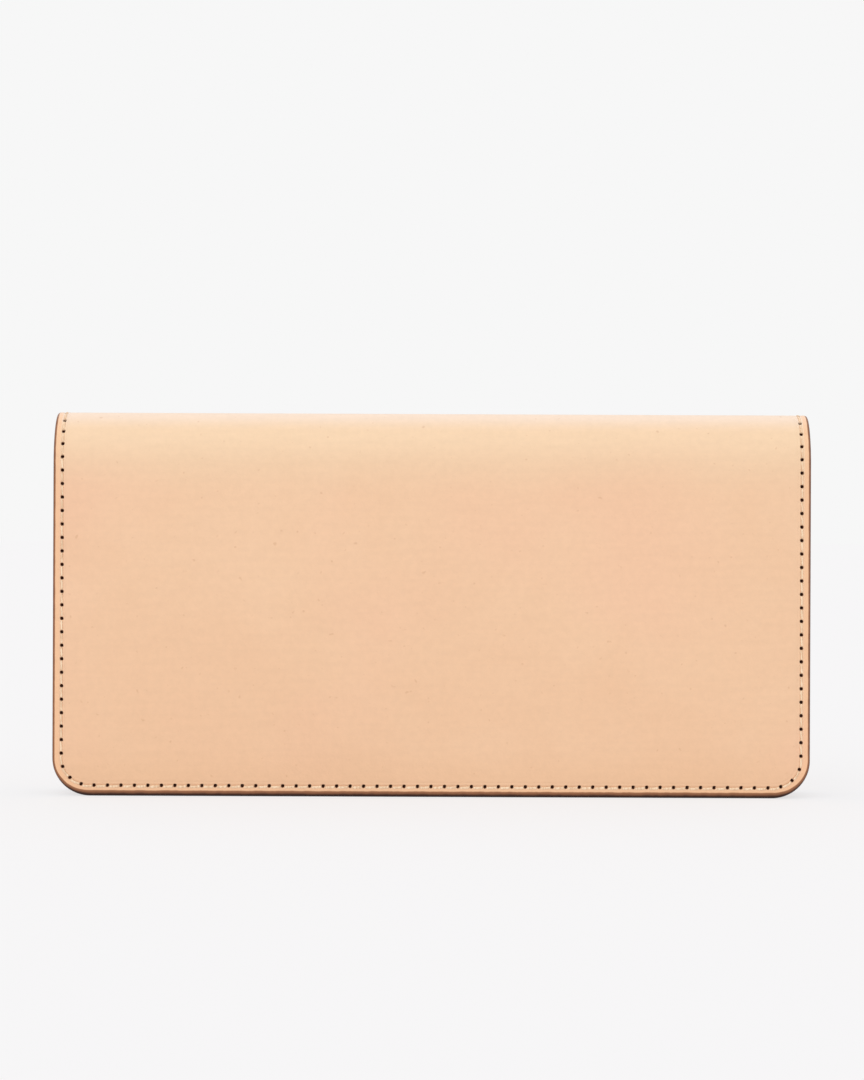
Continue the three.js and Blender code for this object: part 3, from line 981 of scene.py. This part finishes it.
def make_card_side():
    """The note pocket and the two columns of card pockets in the back half."""
    tops = [top_mm(f"card_pocket_left_{tier}") for tier in (1, 2, 3, 4)]
    bill_top = top_mm("bill_pocket")
    holes = edge_holes(tops[0], bill_top, False)
    leaf("note_pocket", "bill_pocket", "back_half", holes)
    for column, x in (("left", -DIVIDER_X), ("right", DIVIDER_X)):
        for tier in (1, 2, 3, 4):
            below = tops[tier] if tier < 4 else 0
            holes = edge_holes(below, tops[tier - 1], tier == 4)
            holes = [hole for hole in holes if hole[0] * x > 0]
            holes += divider_holes(x, below, tops[tier - 1])
            place_name = f"{column}_{tier}"
            leaf(f"card_leaf_{place_name}", f"card_pocket_{place_name}", "back_half", holes)


def make_coin_side():
    """The zipped coin pocket and the slip pocket in the front half."""
    coin_top, slip_top = top_mm("coin_pocket_panel"), top_mm("slip_pocket")
    window_holes = [
        rect_point(ZIP_WINDOW, i * rect_pitch(ZIP_WINDOW), ZIP_WINDOW["line"], ZIP_WINDOW["line"])
        for i in range(ZIP_WINDOW["stitches"])
    ]
    holes = edge_holes(slip_top, coin_top, False) + window_holes
    leaf("coin_panel", "coin_pocket_panel", "front_half", holes, ZIP_WINDOW)
    leaf("coin_frame", "coin_pocket_frame", "front_half", rect=FRAME_HOLLOW)
    leaf("coin_back", "coin_pocket_back", "front_half", look=(COTTON, "cotton_lining"))
    leaf("slip_leaf", "slip_pocket", "front_half", edge_holes(0, slip_top, True))


def straight_point(x0):
    """A seam up a straight line: returns its (x, v) function on the back half."""
    return lambda p, inset: (x0 + inset - STITCH_INSET, V_END - p)


def divider_depth(height):
    """Depth of the innermost layer of the back half at a height on a divider seam."""
    return inside_depth(HALF_LOOP - p_at_height(height))


def make_inner_seams():
    """Divider seams between the card columns and the seam round the zip."""
    for column, x in (("left", -DIVIDER_X), ("right", DIVIDER_X)):
        sheet = Sheet()
        heights = [z for _, z in divider_holes(x, 0, top_mm("bill_pocket"))]
        for z in heights[:-1]:
            rings = add_stitch(sheet, z, divider_depth, 1, straight_point(x))
            sheet.loft(rings, closed=True)
        piece = sheet.piece(f"divider_stitches_{column}", THREAD_FIBRE, "thread")
        stand_in(piece, f"card_divider_thread_{column}", "back_half")
    sheet = Sheet()
    pitch, line = rect_pitch(ZIP_WINDOW), ZIP_WINDOW["line"]
    face = layer_mm("coin_pocket_panel")[1]
    length = pitch * ZIP_WINDOW["stitches"]

    def window_place(p, inset):
        return rect_point(ZIP_WINDOW, p % length, line + inset - STITCH_INSET, line)

    for i in range(ZIP_WINDOW["stitches"]):
        rings = add_stitch(sheet, i * pitch, lambda p: face, 1, window_place, pitch)
        sheet.loft(rings, closed=True)
    piece = sheet.piece("zip_window_stitches", THREAD_FIBRE, "thread")
    stand_in(piece, "zip_window_thread", "front_half")


# ---------------- zip


def prism(work, outlines, depths, move=(0.0, 0.0)):
    """Adds a plate between two depths of the front half; outlines after the first are openings."""
    loops = [[Vector((x + move[0], z + move[1])) for x, z in outline] for outline in outlines]
    flat = [point for loop in loops for point in loop]
    edges = loop_edges(loops)
    made = geometry.delaunay_2d_cdt(flat, edges, [], 1, 1e-7)
    layers = [[work.verts.new((c.x * MM, (d - HALF) * MM, c.y * MM)) for c in made[0]] for d in depths]
    for triangle in made[2]:
        middle = sum((made[0][i] for i in triangle), Vector((0, 0))) / 3
        if any(encloses(loop, middle) for loop in loops[1:]):
            continue
        for layer in layers:
            work.faces.new([layer[i] for i in triangle])
    number = {origin: i for i, origins in enumerate(made[3]) for origin in origins}
    for a, b in edges:
        a, b = number[a], number[b]
        work.faces.new((layers[0][a], layers[0][b], layers[1][b], layers[1][a]))


def encloses(loop, point):
    """True if a point is inside a closed outline."""
    crossings = 0
    for a, b in zip(loop, loop[1:] + loop[:1]):
        if (a.y > point.y) != (b.y > point.y):
            x = a.x + (point.y - a.y) / (b.y - a.y) * (b.x - a.x)
            crossings += x > point.x
    return crossings % 2 == 1


def metal_piece(name, work, bevel, node, body):
    """Finishes a bmesh as a bevelled brass piece in place of a CAD node."""
    bmesh.ops.recalc_face_normals(work, faces=work.faces)
    mesh = bpy.data.meshes.new(name)
    work.to_mesh(mesh)
    work.free()
    made = new_object(name, mesh, BRASS, "brass")
    rounding = made.modifiers.new("rounding", "BEVEL")
    rounding.width = bevel * MM
    rounding.segments = 3
    rounding.angle_limit = math.radians(35)
    for face in mesh.polygons:
        face.use_smooth = True
    mesh.set_sharp_from_angle(angle=math.radians(50))
    stand_in(made, node, body)


def mirrored(half_outline):
    """A closed outline from its right half, given from bottom to top."""
    return half_outline + [(-x, z) for x, z in reversed(half_outline)]


TOOTH = [(0.28, -0.3), (0.45, 0.2), (0.45, 0.75), (0.3, 1.2), (0.34, 2.45)]
TOOTH_DEPTH = (3.85, 5.45)
CHAIN_HALF = 74.0
TOOTH_PITCH = 2.0


def make_teeth():
    """Two rows of brass teeth that mesh."""
    for name, up, shift in (("upper", 1, 0.5), ("lower", -1, 1.5)):
        work = bmesh.new()
        outline = [(x, up * z) for x, z in mirrored(TOOTH)]
        for i in range(int(2 * CHAIN_HALF / TOOTH_PITCH) - 1):
            x = -CHAIN_HALF + shift + 0.5 + i * TOOTH_PITCH
            prism(work, [outline], TOOTH_DEPTH, (x, ZIP_Z))
        metal_piece(f"zip_row_{name}", work, 0.1, f"zip_teeth_{name}", "front_half")


def make_tapes():
    """Woven tapes on both sides of the teeth, each with a corded edge."""
    for name, up in (("upper", 1), ("lower", -1)):
        low, high = box_mm(f"zip_tape_{name}")
        outer, face = layer_mm(f"zip_tape_{name}")
        middle = (outer + face) / 2
        section = [(2.0, outer - 0.1), (1.75, middle), (2.0, face + 0.1), (2.3, face + 0.12)]
        section += [(2.6, face), (7.4, face), (7.5, middle), (7.4, outer)]
        section += [(2.6, outer), (2.3, outer - 0.12)]
        sheet = Sheet()
        rows = []
        for x in [lerp(low[0], high[0], i / 40) for i in range(41)]:
            rows.append([sheet.point(x, ZIP_Z + up * reach, depth) for reach, depth in section])
        sheet.loft(rows, closed=True)
        sheet.faces += [tuple(rows[0]), tuple(reversed(rows[-1]))]
        piece = sheet.piece(f"zip_weave_{name}", TAPE, "zip_tape")
        stand_in(piece, f"zip_tape_{name}", "front_half")


def make_stops():
    """A crimped brass stop at each end of the teeth."""
    for name in ("left", "right"):
        low, high = box_mm(f"zip_stop_{name}")
        work = bmesh.new()
        x0, x1, z0, z1 = low[0], high[0], low[2], high[2]
        waist = (x1 - x0) * 0.16
        outline = [(x0, z0), (x1, z0), (x1 - waist, ZIP_Z), (x1, z1), (x0, z1), (x0 + waist, ZIP_Z)]
        prism(work, [outline], layer_mm(f"zip_stop_{name}"))
        metal_piece(f"zip_crimp_{name}", work, 0.35, f"zip_stop_{name}", "front_half")


SLIDER_X = 69.0
SLIDER_HALF = [(-4.5, 2.2), (-3.9, 2.9), (-2.5, 3.2), (0.3, 3.4)]
SLIDER_HALF += [(2.6, 4.0), (3.9, 3.7), (4.5, 2.7), (4.35, 1.0)]
SLIDER_PLATES = ((2.95, 3.6), (5.7, 6.35))
RIM_DEPTHS = ((3.5, 4.2), (5.1, 5.8))
BAIL = {"half": 2.2, "radius": 0.42, "foot": 6.2, "top": 8.0, "corner": 0.8}
PULL_X = SLIDER_X - BAIL["half"]
PULL_DEPTH = (6.65, 7.55)


def tube(work, path, radius, sides=14):
    """Adds a round bar along a path of points in millimetres."""
    rings = []
    for i, here in enumerate(path):
        along = (path[min(i + 1, len(path) - 1)] - path[max(i - 1, 0)]).normalized()
        across = Vector((0, 0, 1))
        other = along.cross(across).normalized()
        ring = []
        for j in range(sides):
            angle = 2 * math.pi * j / sides
            spot = here + (across * math.cos(angle) + other * math.sin(angle)) * radius
            ring.append(work.verts.new(spot * MM))
        rings.append(ring)
    for a, b in zip(rings, rings[1:]):
        for j in range(sides):
            work.faces.new((a[j], a[(j + 1) % sides], b[(j + 1) % sides], b[j]))
    work.faces.new(rings[0])
    work.faces.new(rings[-1])


def make_slider():
    """Slider body with bent rims and a bail for the pull."""
    work = bmesh.new()
    notch = [(3.5, 0.0)]
    lower = [(x, -w) for x, w in SLIDER_HALF]
    upper = [(x, w) for x, w in reversed(SLIDER_HALF)]
    outline = lower + notch + upper
    for depths in SLIDER_PLATES:
        prism(work, [outline], depths, (SLIDER_X, ZIP_Z))
    rim = SLIDER_HALF[1:6]
    for way in (-1, 1):
        edge = [(x, way * (w - 0.04)) for x, w in rim]
        inner = [(x, way * (w - 0.6)) for x, w in reversed(rim)]
        for depths in RIM_DEPTHS:
            prism(work, [edge + inner], depths, (SLIDER_X, ZIP_Z))
    half, corner, top = BAIL["half"], BAIL["corner"], BAIL["top"]
    path = [Vector((SLIDER_X - half, BAIL["foot"] - HALF, ZIP_Z))]
    for way in (-1, 1):
        for step in range(7):
            angle = math.radians(15 * (step if way < 0 else 6 - step))
            x = way * (half - corner + corner * math.cos(angle))
            path.append(Vector((SLIDER_X + x, top - corner + corner * math.sin(angle) - HALF, ZIP_Z)))
    path.append(Vector((SLIDER_X + half, BAIL["foot"] - HALF, ZIP_Z)))
    tube(work, path, BAIL["radius"])
    metal_piece("zip_runner", work, 0.16, "zip_slider", "zip_slider")


def circle(x, z, radius, steps=28, start=0.0, sweep=2 * math.pi):
    """Points round an arc or a full circle."""
    whole = abs(sweep) >= 2 * math.pi - 1e-6
    count = steps if whole else steps - 1
    angles = [start + sweep * i / count for i in range(steps)]
    return [(x + radius * math.cos(angle), z + radius * math.sin(angle)) for angle in angles]


def make_pull():
    """A hanging puller: an eye, a waist and a long flat tab with a slot."""
    work = bmesh.new()
    eye, half, end_r = 2.4, 2.7, 1.9
    low = end_r - 19.0
    waist = math.asin(1.35 / eye)
    side = [(1.25, -3.2), (1.5, -4.2), (2.2, -5.6), (2.55, -7.0), (half, -12.0), (half, low)]
    outline = circle(0, 0, eye, 26, -math.pi / 2 + waist, 2 * math.pi - 2 * waist)
    outline += [(-x, z) for x, z in side] + circle(end_r - half, low, end_r, 8, math.pi, math.pi / 2)[1:]
    outline += circle(half - end_r, low, end_r, 8, 1.5 * math.pi, math.pi / 2)[:-1] + side[::-1]
    hole = circle(0, 0, 0.78, 20)
    slot = circle(0, -8.6, 0.9, 12, 0, math.pi) + circle(0, -15.6, 0.9, 12, math.pi, math.pi)
    prism(work, [outline, hole, slot], PULL_DEPTH, (PULL_X, ZIP_Z))
    metal_piece("zip_tab", work, 0.22, "zip_pull", "zip_pull")


make_card_side()
make_coin_side()
make_inner_seams()
make_tapes()
make_teeth()
make_stops()
make_slider()
make_pull()

# ---------------- camera, floor and light

CAMERA = {"y": -0.568, "z": 0.0645, "lens": 74.5, "roll": -0.24}
FLOOR_GLOW = 0.68


def make_camera():
    """Camera in front of the middle, level but for a slight roll."""
    data = bpy.data.cameras.new("camera")
    data.lens = CAMERA["lens"]
    data.sensor_width = 36
    camera = linked("camera", data)
    camera.location = (0, CAMERA["y"], CAMERA["z"])
    camera.rotation_euler = (math.pi / 2, math.radians(CAMERA["roll"]), 0)
    bpy.context.scene.camera = camera


def make_floor():
    """A wide plain floor that runs out of sight."""
    reach = 60.0
    mesh = bpy.data.meshes.new("floor")
    corners = [(-reach, -reach, 0), (reach, -reach, 0), (reach, reach, 0), (-reach, reach, 0)]
    mesh.from_pydata(corners, [], [(0, 1, 2, 3)])
    s = Shader("floor")
    s.set(Base_Color=(0.22, 0.22, 0.22, 1), Roughness=0.9, Specular_IOR_Level=0.0)
    s.set(Emission_Color=(1.0, 0.99, 1.0, 1), Emission_Strength=FLOOR_GLOW)
    mesh.materials.append(s.material)
    linked("floor", mesh)


def add_sun(name, energy, spread, tilt, turn):
    """A broad soft light; tilt is its angle from overhead, turn is the side that it comes from."""
    data = bpy.data.lights.new(name, "SUN")
    data.energy = energy
    data.angle = math.radians(spread)
    linked(name, data).rotation_euler = (math.radians(tilt), 0, math.radians(turn))


def make_light():
    """Even white surroundings, a broad soft light from the front left and one from above the back."""
    world = bpy.data.worlds.new("studio")
    world.use_nodes = True
    background = world.node_tree.nodes["Background"]
    background.inputs["Color"].default_value = (1, 1, 1, 1)
    background.inputs["Strength"].default_value = 0.93
    bpy.context.scene.world = world
    add_sun("key", 0.7, 60, 50, -25)
    add_sun("rim", 0.2, 50, 20, 180)
    bpy.context.scene.view_settings.view_transform = "Standard"


make_camera()
make_floor()
make_light()
